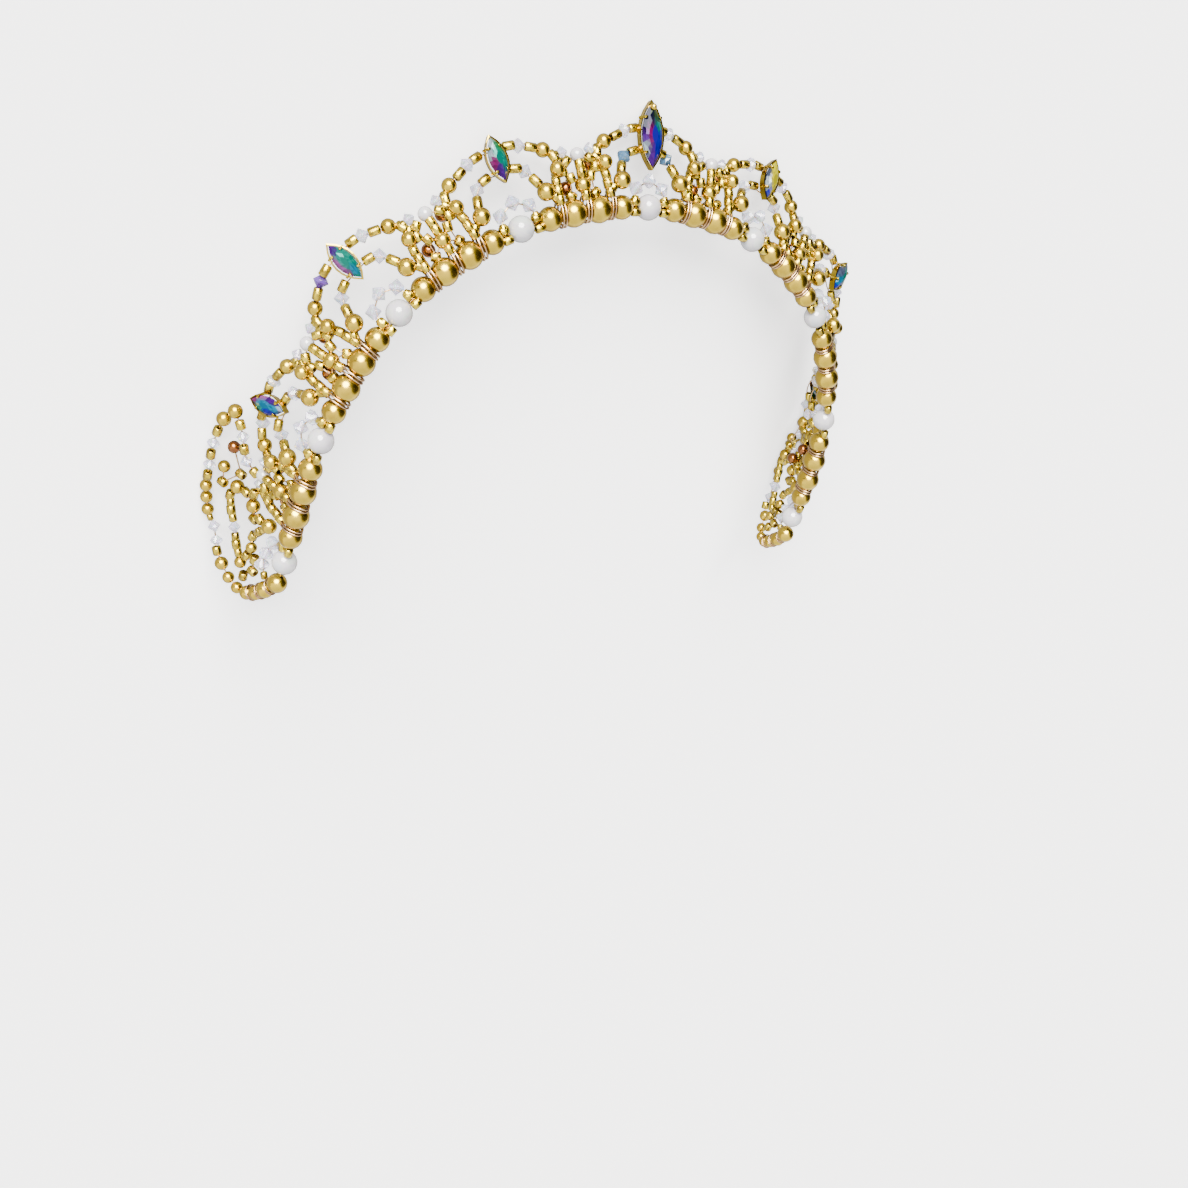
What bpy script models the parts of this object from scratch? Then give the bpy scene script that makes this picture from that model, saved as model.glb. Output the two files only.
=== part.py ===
"""Ballet tiara: a horseshoe strip of beaded arches, lying front up on the tips of its arches.

The strip has its own coordinates, in millimetres: along runs on the base row from the middle
motif, height rises from the base row to the arch tips, depth comes towards the stones' front.
strip_point turns them into metres. Every piece is one closed solid.
"""
import math

import bmesh
import bpy
from mathutils import Matrix, Vector

MM = 0.001

# Driving dimensions, in millimetres unless the name says otherwise.
MOTIF_COUNT = 9
MIDDLE = MOTIF_COUNT // 2
MOTIF_PITCH = 35.7
# One value a pitch, from the middle motif outwards.
BASE_TURN = (0.01013, 0.01196, 0.01543, 0.00994, 0.00199, 0.00199)
ARCH_LEAN_DEG = (111.4, 113.9, 119.0, 153.0, 163.0, 165.0)
END_BEND = 0.124
END_BEND_START = 2.2
REST_TILT_DEG = -11.95
REST_FORWARD = 46.2
REST_RAISE = 13.52

WHITE_PEARL_RADIUS = 3.2
RUN_PEARL_RADII = (2.8, 3.05, 3.05, 2.8)
RUN_PEARL_PLACES = (8.0, 14.3, MOTIF_PITCH - 14.3, MOTIF_PITCH - 8.0)
RUN_END = WHITE_PEARL_RADIUS + 0.35
WIRE_RADIUS = 0.32
BICONE_RADIUS = 1.9
BICONE_LENGTH = 3.4
TRIO_RADIUS = 1.95
ARCH_PEARL_RADIUS = 1.85
FOOT_PEARL_RADIUS = 2.0
SIDE_PEARL_RADIUS = 1.5
NET_PEARL_RADIUS = 1.8
NET_TOP_RADIUS = 1.75

STONE_SIZE = (10.0, 5.0)
MIDDLE_STONE_SIZE = (15.0, 7.0)
STONE_HEIGHT = 16.6
MIDDLE_STONE_HEIGHT = 16.9
STONE_DEPTH = 1.2
# Outline of a navette, as parts of its half length and half width.
NAVETTE_OUTLINE = ((1.0, 0.06), (0.52, 0.74), (0.0, 1.0), (-0.52, 0.74),
                   (-1.0, 0.06), (-0.52, -0.74), (0.0, -1.0), (0.52, -0.74))
# Levels of a set stone: depth and scale, from the back of the setting to the table.
NAVETTE_LEVELS = ((-1.7, 0.8), (-1.3, 1.0), (0.5, 1.06), (0.6, 0.9), (1.7, 0.5))

WIRE_SIDES = 5
BEAD_SIDES = 10
CURVE_STEP = 0.5

# Stations of the strings: along, height, depth, kind. A motif's are for its right half.
ARCH_STATIONS = (
    (12.0, 10.7, 1.5, "side"), (12.6, 13.7, -0.4, "wire"), (10.65, 15.7, -0.6, "arch"),
    (7.95, 16.9, 0.0, "wire"), (5.65, 18.0, -0.6, "bicone"), (3.6, 18.6, -1.1, "wire"),
    (1.7, 18.7, -1.5, "wire"))
INNER_STATIONS = (
    (1.7, 13.3, -1.45, "wire"), (3.6, 13.3, -1.3, "wire"), (5.65, 12.1, -1.2, "bicone"),
    (7.05, 9.3, -0.1, "wire"), (8.05, 6.25, 1.6, "foot"), (11.15, 2.35, 0.1, "wire"))
TRIO_STATIONS = (
    (-4.35, 1.0, 0.0, "wire"), (-3.7, 4.5, 0.3, "trio"), (0.0, 6.3, 0.5, "trio"),
    (3.7, 4.5, 0.3, "trio"), (4.35, 1.0, 0.0, "wire"))
END_TRIO_STATIONS = (
    (-4.35, 1.0, 0.0, "wire"), (-2.6, 4.9, 0.6, "trio"), (1.6, 6.1, 0.9, "trio"),
    (5.6, 6.6, 1.0, "trio"), (8.2, 5.6, 0.9, "wire"))
NET_STATIONS = (
    (0.0, 13.1, 0.2, "net_top"), (2.9, 8.8, -0.2, "wire"), (3.2, 3.9, 0.0, "wire"),
    (0.0, 6.1, 0.6, "net"), (-3.2, 3.9, 0.0, "wire"), (-2.9, 8.8, -0.2, "wire"))
# The ends: along counts outwards from the end's white pearl.
END_LOOP_STATIONS = (
    (RUN_END, 0.0, 0.0, "wire"), (6.9, 0.2, 0.6, 2.6), (11.8, 3.5, 1.0, 2.3),
    (15.5, 6.4, 1.0, 2.0), (18.4, 9.6, 1.2, 1.9), (19.7, 13.2, 1.6, 1.6),
    (18.6, 16.5, 2.2, 1.6), (15.5, 19.2, 3.0, 1.8), (13.2, 21.9, 3.0, "wire"),
    (9.9, 22.6, 3.2, "small_bicone"), (5.8, 24.0, 3.6, "small_bicone"), (3.9, 25.6, 4.0, "wire"),
    (1.7, 26.6, 4.4, 1.6), (-2.3, 27.2, 4.8, 1.6), (-6.1, 27.5, 5.0, 1.6), (-9.7, 27.3, 5.0, "wire"),
    (-13.2, 27.1, 5.0, "small_bicone"), (-16.4, 27.1, 5.0, "wire"),
    (-19.8, 26.9, 5.0, "small_bicone"), (-23.6, 26.3, 5.0, "wire"), (-27.6, 25.2, 5.0, 1.85),
    (-31.0, 22.7, 4.6, 1.85), (-28.6, 20.4, 4.2, "wire"), (-25.9, 19.2, 3.6, "small_bicone"),
    (-22.6, 18.6, 2.8, "wire"), (-19.4, 17.8, 2.0, "small_bicone"), (-17.2, 15.7, 0.6, "wire"))
END_ARCH_STATIONS = (
    (-6.6, 6.9, 1.0, "foot"), (-6.2, 10.6, 1.0, "wire"), (-8.2, 13.7, 1.0, "arch"),
    (-9.9, 17.4, 0.6, "wire"), (-9.0, 21.1, 0.4, "arch"), (-5.4, 22.7, 1.0, "wire"),
    (-1.4, 21.2, 1.4, "wire"), (2.6, 18.8, 1.5, "small_bicone"), (7.0, 16.8, 1.5, "wire"),
    (11.0, 14.0, 1.5, 1.6), (7.5, 12.6, 1.2, "wire"), (4.0, 11.5, 1.1, 1.5),
    (0.4, 11.9, 1.0, "wire"), (-2.6, 9.9, 1.0, "wire"))

BEAD_RADII = {
    "side": SIDE_PEARL_RADIUS, "arch": ARCH_PEARL_RADIUS, "foot": FOOT_PEARL_RADIUS,
    "net": NET_PEARL_RADIUS, "net_top": NET_TOP_RADIUS,
}
BICONE_SIZES = {
    "bicone": (BICONE_RADIUS, BICONE_LENGTH), "small_bicone": (1.65, 3.0),
    "trio": (TRIO_RADIUS, 3.6),
}

MATERIALS = {
    "gold": ((0.78, 0.52, 0.16), 1.0, 0.28),
    "pearl": ((0.93, 0.91, 0.87), 0.0, 0.22),
    "crystal": ((0.85, 0.88, 0.95), 0.0, 0.05),
    "stone": ((0.08, 0.35, 0.55), 0.2, 0.08),
}


def clear_scene():
    """Remove every object that the file starts with."""
    for item in list(bpy.data.objects):
        bpy.data.objects.remove(item, do_unlink=True)


def knot_value(values, pitches):
    """Read a table with one value a pitch at a place between them."""
    place = min(max(pitches, 0.0), len(values) - 1.0)
    index = min(int(place), len(values) - 2)
    share = place - index
    return values[index] * (1.0 - share) + values[index + 1] * share


def walk_half_strip():
    """Walk the base row from the middle to one end, as (point, heading, slope) every step."""
    steps = int((MIDDLE + 1.6) * MOTIF_PITCH / CURVE_STEP)
    point, heading = Vector((0.0, 0.0, 0.0)), 0.0
    walked = []
    for step in range(steps + 1):
        pitches = step * CURVE_STEP / MOTIF_PITCH
        slope = -END_BEND * min(max(pitches - END_BEND_START, 0.0), 3.0)
        walked.append((point.copy(), heading, slope))
        middle_heading = heading + knot_value(BASE_TURN, pitches) * CURVE_STEP / 2
        point += CURVE_STEP * Vector((math.cos(slope) * math.cos(middle_heading),
                                      -math.cos(slope) * math.sin(middle_heading), math.sin(slope)))
        heading += knot_value(BASE_TURN, pitches) * CURVE_STEP
    return walked


HALF_STRIP = walk_half_strip()
REST = (Matrix.Translation((0.0, REST_FORWARD, REST_RAISE))
        @ Matrix.Rotation(math.radians(REST_TILT_DEG), 4, "X"))


def strip_frame(along):
    """Place, row direction, height direction and depth direction of the strip at a point."""
    side = -1.0 if along < 0.0 else 1.0
    place = min(abs(along) / CURVE_STEP, len(HALF_STRIP) - 1.001)
    index = int(place)
    share = place - index
    before, after = HALF_STRIP[index], HALF_STRIP[index + 1]
    point = before[0].lerp(after[0], share)
    heading = (before[1] * (1 - share) + after[1] * share)
    slope = (before[2] * (1 - share) + after[2] * share)
    row = Vector((math.cos(slope) * math.cos(heading), -side * math.cos(slope) * math.sin(heading),
                  side * math.sin(slope)))
    outward = Vector((side * math.sin(heading), math.cos(heading), 0.0))
    axis = outward.cross(row)
    if axis.z < 0.0:
        axis.negate()
    lean = math.radians(knot_value(ARCH_LEAN_DEG, abs(along) / MOTIF_PITCH))
    height = (math.cos(lean) * axis + math.sin(lean) * outward).normalized()
    return Vector((side * point.x, point.y, point.z)), row, height, row.cross(height)


def strip_point(along, height=0.0, depth=0.0):
    """Turn strip coordinates in millimetres into a resting point in metres."""
    point, _, up, front = strip_frame(along)
    return (REST @ (point + height * up + depth * front)) * MM


def strip_direction(along, which):
    """One of the strip's directions, turned to the resting pose."""
    return (REST.to_3x3() @ strip_frame(along)[which]).normalized()


def bead_rings(kind):
    """Rings of a station as (place on its axis, radius, sides), in millimetres."""
    wire = (WIRE_RADIUS, WIRE_SIDES)
    if kind == "wire":
        return [(0.0,) + wire]
    if kind in BICONE_SIZES:
        radius, length = BICONE_SIZES[kind]
        return [(-length / 2,) + wire, (0.0, radius, WIRE_SIDES), (length / 2,) + wire]
    radius = BEAD_RADII.get(kind, kind)
    pole = math.sqrt(radius ** 2 - WIRE_RADIUS ** 2)
    belt = (radius * math.sin(math.radians(42)), radius * math.cos(math.radians(42)))
    return [(-pole,) + wire, (-belt[0], belt[1], BEAD_SIDES), (0.0, radius, BEAD_SIDES),
            (belt[0], belt[1], BEAD_SIDES), (pole,) + wire]


def join_rings(mesh, first, second):
    """Fill the belt between two rings with 5 or 10 points each."""
    if len(first) == len(second):
        count = len(first)
        for index in range(count):
            follow = (index + 1) % count
            mesh.faces.new((first[index], first[follow], second[follow], second[index]))
        return
    few, many, turned = (first, second, False) if len(first) < len(second) else (second, first, True)
    for index in range(len(few)):
        follow = (index + 1) % len(few)
        left, middle, right = (many[(2 * index + shift) % len(many)] for shift in (0, 1, 2))
        for face in ((few[index], middle, left), (few[index], few[follow], middle),
                     (few[follow], right, middle)):
            mesh.faces.new(face if not turned else face)


def finish(mesh, name, material):
    """Make the object of a finished mesh, facing outwards, with a material of its own."""
    bmesh.ops.recalc_face_normals(mesh, faces=mesh.faces)
    if mesh.calc_volume(signed=True) < 0.0:
        bmesh.ops.reverse_faces(mesh, faces=mesh.faces)
    data = bpy.data.meshes.new(name)
    mesh.to_mesh(data)
    mesh.free()
    item = bpy.data.objects.new(name, data)
    colour, metallic, roughness = MATERIALS[material]
    dress = bpy.data.materials.new(name + "_" + material)
    dress.use_nodes = True
    shader = dress.node_tree.nodes["Principled BSDF"]
    shader.inputs["Base Color"].default_value = colour + (1.0,)
    shader.inputs["Metallic"].default_value = metallic
    shader.inputs["Roughness"].default_value = roughness
    data.materials.append(dress)
    COLLECTION.objects.link(item)
    return item


def string_of_beads(name, start, stations, material, closed=False):
    """Sweep one string: wire with beads on it, as a single closed solid."""
    places = [strip_point(start + along, height, depth) for along, height, depth, _ in stations]
    count = len(places)
    mesh = bmesh.new()
    rings = []
    for index, (along, _, _, kind) in enumerate(stations):
        before = places[index - 1] if closed or index else places[index]
        after = places[(index + 1) % count] if closed or index < count - 1 else places[index]
        axis = ((places[index] - before).normalized() + (after - places[index]).normalized())
        if axis.length < 0.2:
            axis = after - before
        axis.normalize()
        front = strip_direction(start + along, 3)
        side = (front - front.dot(axis) * axis).normalized()
        other = axis.cross(side)
        for offset, radius, sides in bead_rings(kind):
            centre = places[index] + offset * MM * axis
            ring = []
            for point in range(sides):
                angle = 2 * math.pi * point / sides
                ring.append(mesh.verts.new(centre + radius * MM * (math.cos(angle) * side
                                                                   + math.sin(angle) * other)))
            rings.append(ring)
    for first, second in zip(rings, rings[1:]):
        join_rings(mesh, first, second)
    if closed:
        join_rings(mesh, rings[-1], rings[0])
    else:
        mesh.faces.new(rings[0])
        mesh.faces.new(rings[-1])
    return finish(mesh, name, material)


def white_pearl(name, along):
    """One white pearl of the base row."""
    mesh = bmesh.new()
    bmesh.ops.create_uvsphere(mesh, u_segments=BEAD_SIDES, v_segments=6,
                              radius=WHITE_PEARL_RADIUS * MM)
    bmesh.ops.translate(mesh, verts=mesh.verts, vec=strip_point(along))
    return finish(mesh, name, "pearl")


def navette(name, along, height, size):
    """A pointed stone with a table, fused to its open-backed setting."""
    mesh = bmesh.new()
    centre = strip_point(along, height, STONE_DEPTH)
    row, up, front = (strip_direction(along, which) for which in (1, 2, 3))
    loops = []
    for depth, scale in NAVETTE_LEVELS:
        loops.append([mesh.verts.new(
            centre + MM * (scale * (long * size[0] / 2 * up + wide * size[1] / 2 * row)
                           + depth * front)) for long, wide in NAVETTE_OUTLINE])
    for first, second in zip(loops, loops[1:]):
        join_rings(mesh, first, second)
    mesh.faces.new(loops[0])
    mesh.faces.new(loops[-1])
    return finish(mesh, name, "stone")


def mirrored(stations):
    """The left half of a motif's stations."""
    return tuple((-along, height, depth, kind) for along, height, depth, kind in stations)


def arch_stations():
    """The closed string of one arch: outer arch, down the sides, inner arch."""
    right = ARCH_STATIONS
    left = tuple(reversed(mirrored(ARCH_STATIONS)))
    inner_left = tuple(reversed(mirrored(INNER_STATIONS)))
    return right + left + inner_left + INNER_STATIONS


COLLECTION = bpy.data.collections.new("ballet_tiara")


def build():
    """Build every piece of the tiara."""
    clear_scene()
    bpy.context.scene.collection.children.link(COLLECTION)
    for motif in range(MOTIF_COUNT):
        along = (motif - MIDDLE) * MOTIF_PITCH
        number = motif + 1
        is_end = motif in (0, MOTIF_COUNT - 1)
        outwards = -1.0 if motif == 0 else 1.0
        white_pearl("white_pearl_%d" % number, along)
        trio = TRIO_STATIONS
        if is_end:
            trio = tuple((outwards * place, height, depth, kind)
                         for place, height, depth, kind in END_TRIO_STATIONS)
        string_of_beads("crystal_trio_%d" % number, along, trio, "crystal")
        if is_end:
            for name, stations, closed in (("end_loop", END_LOOP_STATIONS, False),
                                           ("end_arch", END_ARCH_STATIONS, True)):
                turned = tuple((outwards * place, height, depth, kind)
                               for place, height, depth, kind in stations)
                side = "left" if motif == 0 else "right"
                string_of_beads("%s_%s" % (name, side), along, turned, "gold", closed)
        else:
            middle = motif == MIDDLE
            navette("navette_%d" % number, along,
                    MIDDLE_STONE_HEIGHT if middle else STONE_HEIGHT,
                    MIDDLE_STONE_SIZE if middle else STONE_SIZE)
            string_of_beads("arch_%d" % number, along, arch_stations(), "gold", closed=True)
        if motif < MOTIF_COUNT - 1:
            run = [(RUN_END, 0.0, 0.0, "wire")]
            run += [(place, 0.0, 0.0, radius)
                    for place, radius in zip(RUN_PEARL_PLACES, RUN_PEARL_RADII)]
            run += [(MOTIF_PITCH - RUN_END, 0.0, 0.0, "wire")]
            string_of_beads("gold_run_%d" % number, along, run, "gold")
            string_of_beads("net_%d" % number, along + MOTIF_PITCH / 2, NET_STATIONS, "gold",
                            closed=True)


build()
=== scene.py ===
"""Ballet tiara: threaded pearls, seed beads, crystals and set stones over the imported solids.

Sizes are millimetres until a point goes through Strip.point, which gives metres in the part's
frame. Along runs on the base row, height rises to the arch tips, depth comes to the stones' front.
"""

import logging
import math
from collections import defaultdict
from collections.abc import Sequence
from dataclasses import dataclass, field, replace
from enum import Enum, IntEnum

import bmesh
import bpy
from mathutils import Matrix, Vector


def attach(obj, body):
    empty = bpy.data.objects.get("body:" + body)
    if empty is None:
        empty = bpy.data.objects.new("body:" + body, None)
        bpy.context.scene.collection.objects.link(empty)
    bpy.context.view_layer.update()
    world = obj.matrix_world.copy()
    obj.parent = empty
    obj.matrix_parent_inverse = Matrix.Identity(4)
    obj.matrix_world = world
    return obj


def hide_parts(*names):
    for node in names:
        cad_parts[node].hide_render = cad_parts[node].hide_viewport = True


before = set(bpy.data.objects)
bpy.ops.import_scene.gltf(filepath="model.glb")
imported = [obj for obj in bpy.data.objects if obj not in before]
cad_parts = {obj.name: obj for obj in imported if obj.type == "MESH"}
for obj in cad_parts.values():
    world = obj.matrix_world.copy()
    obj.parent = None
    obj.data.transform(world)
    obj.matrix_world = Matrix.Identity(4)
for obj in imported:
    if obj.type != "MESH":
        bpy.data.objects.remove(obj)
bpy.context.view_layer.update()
LOG = logging.getLogger("ballet_tiara")
MM = 0.001
MIDDLE_MOTIF, LAST_MOTIF = 5, 9
Rgb = tuple[float, float, float]
Spot = tuple[float, float, float]
Line = tuple[list[Vector], bool]
Trays = dict["Bead", bmesh.types.BMesh]


class Bead(Enum):
    """The sorts of bead that the tiara is threaded from."""

    GOLD_PEARL = "gold_pearls"
    # Gold pearls painted darker and redder: painted shade for pearls that sit in shadow.
    SHADED_GOLD_PEARL = "painted_shade_pearls"
    WHITE_PEARL = "white_pearls"
    SEED = "gold_seeds"
    CLEAR_BICONE = "clear_bicones"
    BLUE_BICONE = "blue_bicones"
    VIOLET_BICONE = "violet_bicones"


class Slot(Enum):
    """Names for the kinds of finish."""

    GOLD = "gold_beads"
    WHITE = "white_pearl"
    CRYSTAL = "clear_crystal"
    STONE = "navette_stone"


class Way(IntEnum):
    """The strip's own directions, by their place in what Strip.axes gives."""

    ROW = 1
    HEIGHT = 2
    DEPTH = 3


PEARL, SHADED_PEARL, WHITE = Bead.GOLD_PEARL, Bead.SHADED_GOLD_PEARL, Bead.WHITE_PEARL
SEED, BICONE, BLUE = Bead.SEED, Bead.CLEAR_BICONE, Bead.BLUE_BICONE
VIOLET = Bead.VIOLET_BICONE
SEED_RADIUS = 1.22


@dataclass(frozen=True)
class Station:
    """A place that a thread goes through, with the bead on it."""

    along: float
    height: float
    depth: float
    bead: Bead | None = None
    radius: float = SEED_RADIUS


def stations(*rows: tuple) -> tuple[Station, ...]:
    """Make stations from rows of along, height, depth, and for a bead its sort and radius."""
    return tuple(Station(*row) for row in rows)


def turned(spots: Sequence[Station], side: float) -> list[Station]:
    """The same stations, or their mirror images where side is -1."""
    return [replace(spot, along=spot.along * side) for spot in spots]


def filled(spots: Sequence[Station], closed: bool, room: float = 1.1, share: float = 0.62,
           largest: float = 1.05) -> list[Station]:
    """Add a small seed where two neighbours on a string leave room.

    Args:
        spots: the string's stations in order.
        closed: whether it comes back to its start.
        room: the gap from bead to bead that calls for one, in millimetres.
        share: the seed's radius as a share of that gap.
        largest: the largest radius that it may have.

    Returns:
        The stations with the added ones.
    """
    made = []
    for index, spot in enumerate(spots):
        made.append(spot)
        after = spots[(index + 1) % len(spots)]
        if (index == len(spots) - 1 and not closed) or None in (spot.bead, after.bead):
            continue
        steps = [getattr(after, part) - getattr(spot, part) for part in ("along", "height", "depth")]
        length = math.hypot(*steps)
        gap = length - spot.radius - after.radius
        if gap > room:
            way = (spot.radius + gap / 2) / length
            made.append(Station(spot.along + way * steps[0], spot.height + way * steps[1],
                                spot.depth + way * steps[2], SEED, min(share * gap, largest)))
    return made


@dataclass
class Strip:
    """The curved strip that every bead is placed on."""

    pitch: float = 35.7
    middle: int = 4
    overhang: float = 1.6
    step: float = 0.5
    turns: tuple[float, ...] = (0.01013, 0.01196, 0.01543, 0.00994, 0.00199, 0.00199)
    leans: tuple[float, ...] = (111.4, 113.9, 119.0, 153.0, 163.0, 165.0)
    end_bend: float = 0.124
    end_bend_start: float = 2.2
    end_bend_reach: float = 3.0
    rest_place: Spot = (0.0, 46.2, 13.52)
    rest_tilt: float = -11.95
    rest: Matrix = field(init=False)
    walked: list[tuple[Vector, float, float]] = field(default_factory=list)

    def __post_init__(self) -> None:
        """Lay the strip at rest, and walk the right half of its base row once."""
        self.rest = (Matrix.Translation(self.rest_place)
                     @ Matrix.Rotation(math.radians(self.rest_tilt), 4, "X"))
        place, heading = Vector((0.0, 0.0, 0.0)), 0.0
        for index in range(int((self.middle + self.overhang) * self.pitch / self.step) + 1):
            pitches = index * self.step / self.pitch
            slope = -self.end_bend * min(max(pitches - self.end_bend_start, 0.0), self.end_bend_reach)
            self.walked.append((place.copy(), heading, slope))
            turn = self.knot(self.turns, pitches) * self.step
            ahead = heading + turn / 2
            place += self.step * Vector((math.cos(slope) * math.cos(ahead),
                                         -math.cos(slope) * math.sin(ahead), math.sin(slope)))
            heading += turn

    def start_of(self, motif: float) -> float:
        """Where a motif, counted from 1 at the left end, stands on the base row."""
        return (motif - 1 - self.middle) * self.pitch

    @staticmethod
    def knot(values: tuple[float, ...], pitches: float) -> float:
        """Read a table that has one value a pitch.

        Args:
            values: the table, from the middle outwards.
            pitches: the place, in pitches from the middle.

        Returns:
            The value at that place.
        """
        place = min(max(pitches, 0.0), len(values) - 1.0)
        index = min(int(place), len(values) - 2)
        share = place - index
        return values[index] * (1.0 - share) + values[index + 1] * share

    def axes(self, along: float) -> tuple[Vector, Vector, Vector, Vector]:
        """Find the strip at a place on the base row.

        Args:
            along: millimetres from the middle motif.

        Returns:
            The place before rest, and the row, height and depth directions.
        """
        side = -1.0 if along < 0.0 else 1.0
        place = min(abs(along) / self.step, len(self.walked) - 1.001)
        index = int(place)
        share = place - index
        before, after = self.walked[index], self.walked[index + 1]
        point = before[0].lerp(after[0], share)
        heading = before[1] * (1 - share) + after[1] * share
        slope = before[2] * (1 - share) + after[2] * share
        row = Vector((math.cos(slope) * math.cos(heading),
                      -side * math.cos(slope) * math.sin(heading), side * math.sin(slope)))
        outward = Vector((side * math.sin(heading), math.cos(heading), 0.0))
        axis = outward.cross(row)
        if axis.z < 0.0:
            axis.negate()
        lean = math.radians(self.knot(self.leans, abs(along) / self.pitch))
        height = (math.cos(lean) * axis + math.sin(lean) * outward).normalized()
        return Vector((side * point.x, point.y, point.z)), row, height, row.cross(height)

    def point(self, along: float, height: float = 0.0, depth: float = 0.0) -> Vector:
        """Turn strip coordinates into metres in the part's frame.

        Args:
            along: millimetres on the base row.
            height: millimetres towards the arch tips.
            depth: millimetres towards the front.

        Returns:
            The point.
        """
        place, _, up, front = self.axes(along)
        return (self.rest @ (place + height * up + depth * front)) * MM

    def direction(self, along: float, which: Way) -> Vector:
        """One of the strip's directions at a place on the base row."""
        return (self.rest.to_3x3() @ self.axes(along)[which]).normalized()


STRIP = Strip()
COLOUR, VALUE = "NodeSocketColor", "NodeSocketFloat"
MIX_SHARE, MIX_FIRST, MIX_SECOND, MIX_OUT = 0, 6, 7, 2
BUMP_DISTANCE = 0.0002


def settle(item: bpy.types.Node, **values: object) -> bpy.types.Node:
    """Give a node its values.

    Args:
        item: the node.
        values: its settings, or defaults of its inputs by name with _ for a space.

    Returns:
        The node.
    """
    for name, value in values.items():
        if hasattr(item, name):
            setattr(item, name, value)
        else:
            item.inputs[name.replace("_", " ")].default_value = value
    return item


def node(graph: bpy.types.NodeTree, kind: str, **values: object) -> bpy.types.Node:
    """Add a shader node, with values as settle takes them."""
    return settle(graph.nodes.new(kind), **values)


def join(graph: bpy.types.NodeTree,
         *links: tuple[bpy.types.Node, str | int, bpy.types.Node, str | int]) -> None:
    """Link nodes, each link from a node and its output to a node and its input."""
    for source, given, target, taken in links:
        graph.links.new(source.outputs[given], target.inputs[taken])


def ramp_node(graph: bpy.types.NodeTree, *stops: tuple[float, Rgb]) -> bpy.types.Node:
    """Add a colour ramp.

    Args:
        graph: the tree it goes in.
        stops: the place and colour of each stop.

    Returns:
        The node.
    """
    made = node(graph, "ShaderNodeValToRGB")
    elements = made.color_ramp.elements
    while len(elements) > 1:
        elements.remove(elements[-1])
    elements[0].position, elements[0].color = stops[0][0], (*stops[0][1], 1.0)
    for place, colour in stops[1:]:
        elements.new(place).color = (*colour, 1.0)
    return made


def add_bump(graph: bpy.types.NodeTree, source: bpy.types.Node, given: str,
             shader: bpy.types.Node, strength: float) -> None:
    """Feed a height to the Normal of a shader.

    Args:
        graph: the material's tree.
        source: the node that the height comes from.
        given: the name of its output.
        shader: the shader.
        strength: the strength of the bump.
    """
    bump = node(graph, "ShaderNodeBump", Strength=strength, Distance=BUMP_DISTANCE)
    join(graph, (source, given, bump, "Height"), (bump, "Normal", shader, "Normal"))


def new_group(name: str, inputs: tuple[tuple[str, str, object], ...],
              outputs: tuple[tuple[str, str], ...]) -> tuple[bpy.types.NodeTree, ...]:
    """Start a node group with named sockets.

    Args:
        name: the group's name.
        inputs: name, socket type and default of each input.
        outputs: name and socket type of each output.

    Returns:
        The group, its input node and its output node.
    """
    group = bpy.data.node_groups.new(name, "ShaderNodeTree")
    for label, kind, value in inputs:
        made = group.interface.new_socket(name=label, in_out="INPUT", socket_type=kind)
        made.default_value = value
    for label, kind in outputs:
        group.interface.new_socket(name=label, in_out="OUTPUT", socket_type=kind)
    return group, group.nodes.new("NodeGroupInput"), group.nodes.new("NodeGroupOutput")


def make_plating_group() -> bpy.types.NodeTree:
    """The small unevenness of plated and pearl coated beads.

    Returns:
        A group that puts out colour, roughness and height.
    """
    group, into, out = new_group(
        "plating", (("Colour", COLOUR, (0.8, 0.5, 0.1, 1.0)),
                    ("Thin Colour", COLOUR, (0.5, 0.3, 0.1, 1.0)), ("Scale", VALUE, 300.0),
                    ("Roughness", VALUE, 0.25), ("Spread", VALUE, 0.08)),
        (("Colour", COLOUR), ("Roughness", VALUE), ("Height", VALUE)))
    place = node(group, "ShaderNodeTexCoord")
    clouds = node(group, "ShaderNodeTexNoise", Detail=3.0, Roughness=0.55)
    fine = node(group, "ShaderNodeTexNoise", Detail=2.0)
    finer = node(group, "ShaderNodeMath", operation="MULTIPLY")
    finer.inputs[1].default_value = 6.0
    ramp = ramp_node(group, (0.38, (0.0, 0.0, 0.0)), (0.68, (1.0, 1.0, 1.0)))
    blend = node(group, "ShaderNodeMix", data_type="RGBA")
    rough = node(group, "ShaderNodeMath", operation="MULTIPLY_ADD")
    join(group, (place, "Object", clouds, "Vector"), (place, "Object", fine, "Vector"),
         (into, "Scale", clouds, "Scale"), (into, "Scale", finer, 0), (finer, 0, fine, "Scale"),
         (clouds, "Fac", ramp, "Fac"), (ramp, "Color", blend, MIX_SHARE),
         (into, "Colour", blend, MIX_FIRST), (into, "Thin Colour", blend, MIX_SECOND),
         (fine, "Fac", rough, 0), (into, "Spread", rough, 1), (into, "Roughness", rough, 2),
         (blend, MIX_OUT, out, "Colour"), (rough, 0, out, "Roughness"), (fine, "Fac", out, "Height"))
    return group


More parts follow.
